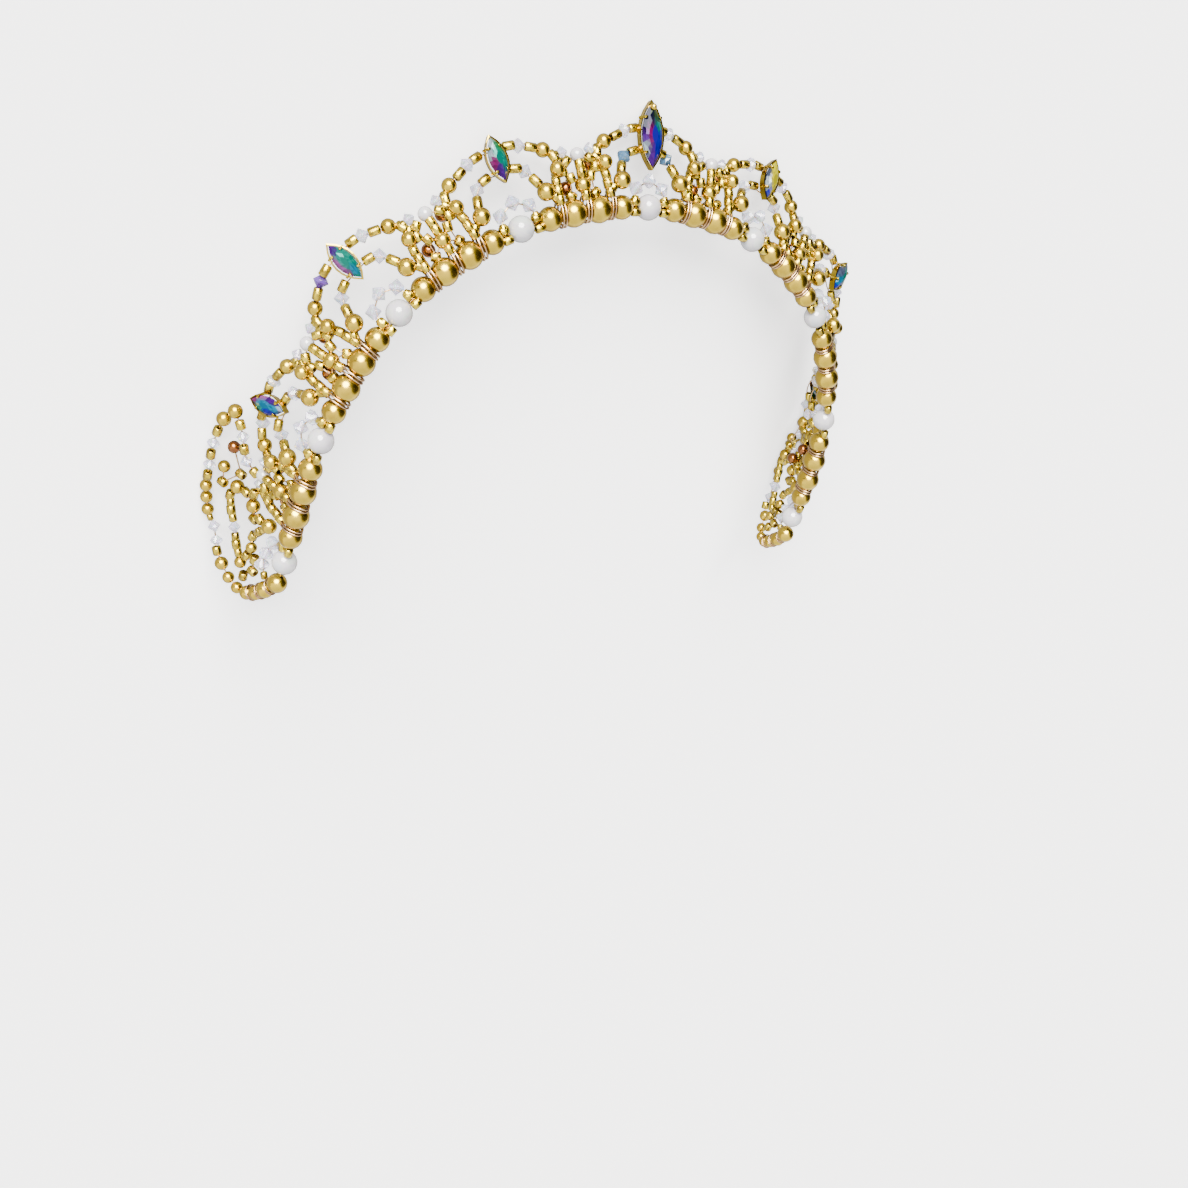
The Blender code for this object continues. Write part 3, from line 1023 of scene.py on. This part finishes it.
@dataclass
class EndSweep:
    """The curled end of the strip with its loop and inner arch."""

    box: BeadBox
    wires: WireWork
    loop: tuple[Station, ...] = stations(
        (3.55, 0.0, 0.0), (6.9, 0.2, 0.6, PEARL, 2.6), (11.8, 3.5, 1.0, PEARL, 2.3),
        (15.5, 6.4, 1.0, PEARL, 2.0), (18.4, 9.6, 1.2, PEARL, 1.9), (19.7, 13.2, 1.6, PEARL, 1.6),
        (18.6, 16.5, 2.2, PEARL, 1.6), (15.5, 19.2, 3.0, PEARL, 1.8), (13.2, 21.9, 3.0, SEED),
        (9.9, 22.6, 3.2, BICONE, 1.65), (5.8, 24.0, 3.6, BICONE, 1.65), (3.9, 25.6, 4.0, SEED, 0.8),
        (1.7, 26.6, 4.4, PEARL, 1.6), (-2.3, 27.2, 4.8, PEARL, 1.6), (-6.1, 27.5, 5.0, PEARL, 1.6),
        (-9.7, 27.3, 5.0, SEED), (-13.2, 27.1, 5.0, BICONE, 1.65), (-16.4, 27.1, 5.0, SEED),
        (-19.8, 26.9, 5.0, BICONE, 1.65), (-23.6, 26.3, 5.0, SEED), (-27.6, 25.2, 5.0, PEARL, 1.85),
        (-31.0, 22.7, 4.6, PEARL, 1.85), (-28.6, 20.4, 4.2, SEED), (-25.9, 19.2, 3.6, BICONE, 1.65),
        (-22.6, 18.6, 2.8, SEED), (-19.4, 17.8, 2.0, BICONE, 1.65), (-17.2, 15.7, 0.6, SEED))
    arch: tuple[Station, ...] = stations(
        (-6.6, 6.9, 1.0, PEARL, 2.0), (-6.2, 10.6, 1.0, SEED), (-8.2, 13.7, 1.0, PEARL, 1.85),
        (-9.9, 17.4, 0.6, SEED), (-9.0, 21.1, 0.4, PEARL, 1.85), (-5.4, 22.7, 1.0, SEED),
        (-1.4, 21.2, 1.4, SEED), (2.6, 18.8, 1.5, BICONE, 1.65), (7.0, 16.8, 1.5, SEED),
        (11.0, 14.0, 1.5, PEARL, 1.6), (7.5, 12.6, 1.2, SEED), (4.0, 11.5, 1.1, PEARL, 1.5),
        (0.4, 11.9, 1.0, SEED), (-2.6, 9.9, 1.0, SEED))
    # The second extra is a gold pearl in the painted-shade finish.
    extras: tuple[Station, ...] = stations(
        (-13.2, 25.1, 2.0, PEARL, 1.6), (-20.6, 22.8, 2.0, SHADED_PEARL, 1.6), (-13.1, 20.9, 0.0, SEED),
        (-11.7, 14.2, 1.0, SEED), (-4.8, 12.6, 1.0, SEED), (6.5, 9.6, 1.0, SEED),
        (10.4, 9.4, 1.0, SEED), (14.2, 12.0, 1.4, SEED), (-9.0, 24.2, 2.6, SEED))
    ties: tuple[tuple[int, int], ...] = ((0, 8), (8, 2), (1, 2), (3, 4), (5, 6), (6, 7))
    wraps: tuple[tuple[float, float], ...] = ((9.4, 1.9), (13.7, 5.0), (17.0, 8.0))
    wrap_shift: float = 0.25
    wrap_depth: float = 0.9
    wrap_size: tuple[float, float] = (1.6, 1.8)
    wrap_lean: float = -2.5

    def build(self, side: float) -> None:
        """Thread one end.

        Args:
            side: -1 for the left end, 1 for the right one.
        """
        label = "left" if side < 0.0 else "right"
        start = side * STRIP.middle * STRIP.pitch
        loop_name, arch_name = "end_loop_" + label, "end_arch_" + label
        loop = self.box.string(loop_name, start, turned(filled(self.loop, False), side),
                               stands_for=(loop_name,))
        arch = self.box.string(arch_name, start, turned(filled(self.arch, True), side), True,
                               (arch_name,))
        extras = turned(self.extras, side)
        self.box.loose("end_filling_" + label, start,
                       [(spot, Way.ROW if index % 2 else Way.HEIGHT)
                        for index, spot in enumerate(extras)])
        wraps = [(self.wires.loop(start + side * (along + shift), (height, self.wrap_depth),
                                  self.wrap_size, self.wrap_lean * side), True)
                 for along, height in self.wraps for shift in (-self.wrap_shift, self.wrap_shift)]
        self.wires.draw(loop_name + "_wire", [(loop, False)] + wraps, stands_for=(loop_name,))
        spots = [STRIP.point(start + spot.along, spot.height, spot.depth) for spot in extras]
        ties = [([spots[first], spots[second]], False) for first, second in self.ties]
        self.wires.draw(arch_name + "_wire", [(arch, True)] + ties, stands_for=(arch_name,))


@dataclass(frozen=True)
class StoneTint:
    """Colours of one stone as places on it: to the right, to the tip, and the colour."""

    spots: tuple[tuple[float, float, Rgb], ...]
    softness: float = 0.02
    falloff: int = 3

    def at(self, right: float, tip: float, jitter: float) -> Rgb:
        """Mix the colour of one facet.

        Args:
            right: its place across the stone, from -1 to 1.
            tip: its place along the stone, from -1 to 1.
            jitter: how bright the facet is beside its neighbours.

        Returns:
            The colour.
        """
        total, mixed = 0.0, Vector((0.0, 0.0, 0.0))
        for across, along, colour in self.spots:
            apart = (right - across) ** 2 + (tip - along) ** 2
            weight = 1.0 / (self.softness + apart) ** self.falloff
            total += weight
            mixed += weight * Vector(colour)
        mixed *= jitter / total
        return tuple(min(max(part, 0.0), 1.0) for part in mixed)


TEAL, CYAN, BLUE_FIRE = (0.0, 0.066, 0.050), (0.0, 0.050, 0.090), (0.0, 0.0, 0.110)
PURPLE, MAGENTA, GREEN = (0.016, 0.0, 0.050), (0.045, 0.0, 0.026), (0.004, 0.013, 0.0)
NAVY, PINK, YELLOW = (0.001, 0.001, 0.007), (0.085, 0.022, 0.085), (0.170, 0.150, 0.0)
SLATE, ICE, LIME = (0.014, 0.018, 0.034), (0.100, 0.130, 0.150), (0.0, 0.062, 0.016)

STONE_TINTS = {
    2: StoneTint(((0.0, 0.95, MAGENTA), (0.85, 0.4, PINK), (-0.5, 0.35, TEAL), (0.3, 0.1, CYAN),
                  (-0.5, -0.2, BLUE_FIRE), (0.75, -0.3, PURPLE), (0.0, -0.5, CYAN), (0.0, -0.95, SLATE))),
    3: StoneTint(((0.0, 0.95, PURPLE), (0.5, 0.35, TEAL), (-0.95, 0.1, PINK), (-0.1, 0.0, TEAL),
                  (0.6, -0.1, TEAL), (-0.8, -0.5, PINK), (0.1, -0.6, CYAN), (0.0, -0.95, TEAL))),
    4: StoneTint(((-0.3, 0.95, ICE), (0.4, 0.5, LIME), (-0.8, 0.4, ICE), (-0.1, 0.2, TEAL),
                  (0.3, 0.1, TEAL), (0.5, -0.3, TEAL), (-0.6, -0.1, MAGENTA),
                  (-0.3, -0.5, PURPLE), (0.0, -0.95, PURPLE))),
    5: StoneTint(((0.1, 0.95, GREEN), (0.4, 0.6, GREEN), (-0.4, 0.6, NAVY), (-0.8, 0.3, NAVY),
                  (0.5, 0.3, TEAL), (0.6, -0.05, BLUE_FIRE), (0.2, -0.15, BLUE_FIRE),
                  (-0.4, 0.0, MAGENTA), (-0.8, -0.1, PURPLE), (-0.8, -0.4, ICE),
                  (0.3, -0.45, BLUE_FIRE), (-0.2, -0.65, PURPLE), (0.0, -0.95, PURPLE))),
    6: StoneTint(((0.0, 0.95, YELLOW), (0.5, 0.3, YELLOW), (-0.3, 0.3, YELLOW), (0.3, -0.3, YELLOW),
                  (-0.2, 0.0, YELLOW), (0.1, -0.5, YELLOW), (-0.9, 0.2, SLATE), (-0.6, -0.5, ICE),
                  (-0.3, -0.75, BLUE_FIRE), (0.0, -0.95, SLATE))),
    7: StoneTint(((0.0, 0.9, SLATE), (0.6, 0.0, ICE), (-0.6, 0.0, SLATE), (0.0, 0.0, TEAL),
                  (-0.3, -0.5, CYAN), (0.0, -0.9, BLUE_FIRE))),
    8: StoneTint(((0.0, 0.95, MAGENTA), (-0.75, 0.35, PINK), (0.5, 0.35, TEAL), (0.0, 0.0, CYAN),
                  (0.5, -0.3, BLUE_FIRE), (0.0, -0.95, ICE))),
}


@dataclass(frozen=True)
class StoneSize:
    """How large a stone is and where it hangs in its arch, in millimetres and degrees."""

    length: float = 9.9
    width: float = 4.3
    height: float = 16.6
    depth: float = 1.2
    turn: float = 0.0


STONE_SIZES = {2: StoneSize(turn=12.0), MIDDLE_MOTIF: StoneSize(15.0, 5.9, 16.9, 1.55)}


@dataclass
class SetStone:
    """A navette with a table, in its open setting with four claws."""

    finishes: Finishes
    sides: int = 16
    roundness: float = 2.1
    levels: tuple[tuple[float, float], ...] = ((-1.25, 0.30), (0.05, 0.98), (0.50, 1.0),
                                               (1.10, 0.80), (1.50, 0.56), (1.72, 0.30))
    wall_gap: float = 0.10
    wall_foot: float = -1.35
    wall_height: float = 1.8
    wall_flare: float = 0.5
    wall_thickness: float = 0.3
    claw_size: Spot = (0.75, 0.62, 2.3)
    claw_lean: float = 0.75
    claw_bevel: float = 0.16
    claw_along: float = 0.55
    claw_across: float = 0.80
    claw_gap: float = 0.42
    claw_rise: float = 0.15

    def outline(self, mesh: bmesh.types.BMesh, size: StoneSize, grow: float,
                depth: float) -> bmesh.types.BMFace:
        """Draw a navette outline as one face.

        Args:
            mesh: the mesh that it goes into.
            size: the stone's size.
            grow: how far it is outside the stone's edge, in millimetres.
            depth: its depth in millimetres.

        Returns:
            The face.
        """
        points = []
        for index in range(self.sides):
            long = 1.0 - 4.0 * min(index, self.sides - index) / self.sides
            wide = math.copysign(1.0 - abs(long) ** self.roundness, self.sides / 2 - index)
            points.append(mesh.verts.new((wide * (size.width / 2 + grow),
                                          long * (size.length / 2 + grow), depth)))
        return mesh.faces.new(points)

    @staticmethod
    def sparkle(index: int) -> float:
        """How bright a facet is beside its neighbours, from 0.75 to 1.35."""
        return 0.75 + 0.6 * ((index * 37) % 11) / 10.0

    @staticmethod
    def raised(mesh: bmesh.types.BMesh, face: bmesh.types.BMFace, rise: float,
               grow: tuple[float, float]) -> bmesh.types.BMFace:
        """Extrude a face upwards.

        Args:
            mesh: the mesh that it is in.
            face: the face.
            rise: how far it goes, in millimetres.
            grow: how much wider and longer it gets.

        Returns:
            The new face.
        """
        made = bmesh.ops.extrude_face_region(mesh, geom=[face])["geom"]
        top = next(item for item in made if isinstance(item, bmesh.types.BMFace))
        bmesh.ops.translate(mesh, verts=top.verts, vec=(0, 0, rise))
        bmesh.ops.scale(mesh, vec=(*grow, 1.0), verts=top.verts)
        return top

    def cut(self, size: StoneSize, tint: StoneTint) -> bmesh.types.BMesh:
        """Cut the stone: keel, edge, two rows of crown facets and the table.

        Args:
            size: its size.
            tint: its colours.

        Returns:
            The stone, facing +Z, in millimetres.
        """
        mesh = bmesh.new()
        (before, share), *others = self.levels
        face = self.outline(mesh, size, 0.0, before)
        bmesh.ops.scale(mesh, vec=(share, share, 1.0), verts=face.verts)
        for index, (level, wide) in enumerate(others):
            top = self.raised(mesh, face, level - before, (wide / share, wide / share))
            if index and face.is_valid:
                bmesh.ops.delete(mesh, geom=[face], context="FACES_ONLY")
            face, before, share = top, level, wide
        rings = [item for item in mesh.faces if len(item.verts) == 4]
        bmesh.ops.triangulate(mesh, faces=rings, quad_method="ALTERNATE")
        bmesh.ops.recalc_face_normals(mesh, faces=mesh.faces)
        colours = mesh.loops.layers.float_color.new("facet_tint")
        for index, facet in enumerate(sorted(mesh.faces, key=lambda item: item.calc_center_median()[:])):
            centre = facet.calc_center_median()
            colour = tint.at(centre.x * 2 / size.width, centre.y * 2 / size.length,
                             self.sparkle(index))
            for corner in facet.loops:
                corner[colours] = (*colour, 1.0)
        return mesh

    def claw(self, mesh: bmesh.types.BMesh, size: StoneSize, long: float, wide: float) -> None:
        """Add one claw to the setting.

        Args:
            mesh: the setting.
            size: the stone's size.
            long: its end of the stone, -1 or 1.
            wide: its side of the stone, -1 or 1.
        """
        points = bmesh.ops.create_cube(mesh, size=1.0)["verts"]
        bmesh.ops.scale(mesh, vec=self.claw_size, verts=points)
        tip = [point for point in points if point.co.z > 0.0]
        bmesh.ops.translate(mesh, verts=tip, vec=(-wide * self.claw_lean, 0.0, 0.0))
        edges = list({edge for point in points for edge in point.link_edges})
        bmesh.ops.bevel(mesh, geom=edges, offset=self.claw_bevel, segments=2, affect="EDGES",
                        profile=0.5, material=-1)
        bmesh.ops.translate(mesh, verts=self.island(mesh), vec=(
            wide * (size.width / 2 * self.claw_across + self.claw_gap),
            long * self.claw_along * size.length / 2, self.claw_rise))

    def frame_of(self, size: StoneSize) -> bmesh.types.BMesh:
        """Make the setting: a wall with an open back, and four claws over the edge.

        Args:
            size: the stone's size.

        Returns:
            The setting, facing +Z, in millimetres.
        """
        mesh = bmesh.new()
        face = self.outline(mesh, size, self.wall_gap, self.wall_foot)
        self.raised(mesh, face, self.wall_height,
                    (1.0 + self.wall_flare / size.width, 1.0 + self.wall_flare / size.length))
        ends = [item for item in mesh.faces if len(item.verts) > 4]
        bmesh.ops.delete(mesh, geom=ends, context="FACES_ONLY")
        bmesh.ops.recalc_face_normals(mesh, faces=mesh.faces)
        bmesh.ops.solidify(mesh, geom=mesh.faces[:], thickness=-self.wall_thickness)
        bmesh.ops.recalc_face_normals(mesh, faces=mesh.faces)
        for long in (-1.0, 1.0):
            for wide in (-1.0, 1.0):
                self.claw(mesh, size, long, wide)
        return mesh

    @staticmethod
    def island(mesh: bmesh.types.BMesh) -> list[bmesh.types.BMVert]:
        """Find the points that hang together with the newest one.

        Args:
            mesh: the mesh to search.

        Returns:
            The points.
        """
        mesh.verts.ensure_lookup_table()
        found, waiting = set(), [mesh.verts[-1]]
        while waiting:
            point = waiting.pop()
            if point in found:
                continue
            found.add(point)
            waiting += [edge.other_vert(point) for edge in point.link_edges]
        return list(found)

    def build(self, motif: int) -> None:
        """Cut and set one stone.

        Args:
            motif: the motif's number from 1.
        """
        along, size = STRIP.start_of(motif), STONE_SIZES.get(motif, StoneSize())
        turn = Matrix([STRIP.direction(along, way) for way in Way]).transposed().to_4x4()
        turn @= Matrix.Rotation(math.radians(size.turn), 4, "Z")
        place = (Matrix.Translation(STRIP.point(along, size.height, size.depth)) @ turn
                 @ Matrix.Scale(MM, 4))
        solid = "navette_%d" % motif
        for label, mesh, material, slot in (
                ("stone", self.cut(size, STONE_TINTS[motif]), self.finishes.stone, Slot.STONE),
                ("setting", self.frame_of(size), self.finishes.setting, Slot.GOLD)):
            data = baked(mesh, "%s_%s" % (solid, label))
            data.transform(place)
            place_piece(data, material, slot, (solid,))


@dataclass
class Studio:
    """The pale floor, the lights and the camera."""

    lens: float = 43.485
    sensor: float = 36.0
    camera_place: Spot = (-0.20921, 0.17763, 0.28300)
    camera_right: Spot = (0.83916, 0.28715, 0.46190)
    camera_down: Spot = (-0.09686, -0.75680, 0.64644)
    floor_reach: float = 25.0
    floor_colour: Rgb = (0.94, 0.94, 0.95)
    floor_in_gloss: Rgb = (0.20, 0.19, 0.18)
    floor_glow: float = 0.75
    floor_roughness: float = 0.9
    key_towards: Spot = (-0.40, 0.84, 0.41)
    key_spread: float = 44.0
    key_power: float = 21.0
    key_colour: Rgb = (1.0, 0.98, 0.94)
    room_strength: float = 3.0
    backdrop_colour: Rgb = (0.95, 0.95, 0.95)
    backdrop_strength: float = 5.0

    @staticmethod
    def show(name: str, data: bpy.types.ID) -> bpy.types.Object:
        """Put the floor, a light or a camera in the scene.

        Args:
            name: its name.
            data: what it is.

        Returns:
            Its object.
        """
        item = bpy.data.objects.new(name, data)
        bpy.context.scene.collection.objects.link(item)
        return item

    def floor(self) -> None:
        """Lay the floor, which is darker in the reflections on the beads."""
        mesh = bmesh.new()
        bmesh.ops.create_grid(mesh, x_segments=1, y_segments=1, size=self.floor_reach)
        data = baked(mesh, "floor")
        material, graph, shader = start_material("pale_floor")
        seen = node(graph, "ShaderNodeLightPath")
        shade = node(graph, "ShaderNodeMix", data_type="RGBA")
        shade.inputs[MIX_FIRST].default_value = (*self.floor_colour, 1.0)
        shade.inputs[MIX_SECOND].default_value = (*self.floor_in_gloss, 1.0)
        join(graph, (seen, "Is Glossy Ray", shade, MIX_SHARE), (shade, MIX_OUT, shader, "Base Color"),
             (shade, MIX_OUT, shader, "Emission Color"))
        settle(shader, Emission_Strength=self.floor_glow, Roughness=self.floor_roughness)
        data.materials.append(material)
        item = self.show("floor", data)

    def key_light(self) -> None:
        """Hang one wide, soft light far away over the tiara."""
        data = bpy.data.lights.new("key_light", "SUN")
        data.angle = math.radians(self.key_spread)
        data.energy, data.color = self.key_power, self.key_colour
        item = self.show("key_light", data)
        item.rotation_euler = Vector(self.key_towards).to_track_quat("Z", "Y").to_euler()

    def camera(self) -> None:
        """Stand the camera at the photograph's angle."""
        right, down = Vector(self.camera_right).normalized(), Vector(self.camera_down)
        back = right.cross(-down).normalized()
        turn = Matrix((right, back.cross(right), back)).transposed().to_4x4()
        data = bpy.data.cameras.new("camera")
        data.lens, data.sensor_width, data.sensor_fit = self.lens, self.sensor, "AUTO"
        data.clip_start = 0.01
        item = self.show("camera", data)
        item.matrix_world = Matrix.Translation(self.camera_place) @ turn
        bpy.context.scene.camera = item

    def room(self) -> None:
        """Paint the room: light above, dark below and to one side, and a plain pale backdrop."""
        world = bpy.data.worlds.new("soft_room")
        world.use_nodes = True
        graph = world.node_tree
        place = node(graph, "ShaderNodeTexCoord")
        across = node(graph, "ShaderNodeVectorMath", operation="DOT_PRODUCT")
        across.inputs[1].default_value = self.camera_down
        half = node(graph, "ShaderNodeMath", operation="MULTIPLY_ADD")
        half.inputs[1].default_value = half.inputs[2].default_value = 0.5
        bands = ramp_node(graph, (0.20, (0.14, 0.13, 0.12)), (0.40, (0.04, 0.035, 0.03)),
                          (0.49, (0.012, 0.01, 0.008)), (0.53, (0.95, 0.92, 0.86)),
                          (0.75, (0.92, 0.91, 0.90)), (1.0, (0.62, 0.63, 0.66)))
        beside = node(graph, "ShaderNodeVectorMath", operation="DOT_PRODUCT")
        beside.inputs[1].default_value = self.camera_right
        dark = ramp_node(graph, (0.66, (1.0, 1.0, 1.0)), (0.84, (0.02, 0.016, 0.012)))
        darker = node(graph, "ShaderNodeMix", data_type="RGBA", blend_type="MULTIPLY")
        darker.inputs[MIX_SHARE].default_value = 1.0
        background = settle(graph.nodes["Background"], Strength=self.room_strength)
        backdrop = node(graph, "ShaderNodeBackground", Color=(*self.backdrop_colour, 1.0),
                        Strength=self.backdrop_strength)
        seen, chosen = node(graph, "ShaderNodeLightPath"), node(graph, "ShaderNodeMixShader")
        join(graph, (place, "Generated", across, 0), (across, "Value", half, 0),
             (half, 0, bands, "Fac"), (place, "Generated", beside, 0), (beside, "Value", dark, "Fac"),
             (bands, "Color", darker, MIX_FIRST), (dark, "Color", darker, MIX_SECOND),
             (darker, MIX_OUT, background, "Color"), (seen, "Is Camera Ray", chosen, 0),
             (background, 0, chosen, 1), (backdrop, 0, chosen, 2),
             (chosen, 0, graph.nodes["World Output"], "Surface"))
        bpy.context.scene.world = world

    def build(self) -> None:
        """Set up the studio."""
        self.room()
        self.floor()
        self.key_light()
        self.camera()


def main() -> None:
    """Build the tiara in order."""
    logging.basicConfig(level=logging.INFO, format="%(name)s %(message)s")
    finishes = Finishes().make()
    box, wires = BeadBox(finishes), WireWork(finishes)
    Studio().build()
    BaseRow(box, wires).build()
    trio, arch, net, stone = CrystalTrio(box, wires), Arch(box, wires), Net(box, wires), SetStone(finishes)
    for motif in range(1, LAST_MOTIF + 1):
        trio.build(motif)
        if motif in STONE_TINTS:
            arch.build(motif)
            stone.build(motif)
        if motif < LAST_MOTIF:
            net.build(motif)
    ends = EndSweep(box, wires)
    for side in (-1.0, 1.0):
        ends.build(side)
    for shape in list(bpy.data.meshes):
        if shape.users == 0:
            bpy.data.meshes.remove(shape)


if __name__ == "__main__":
    main()
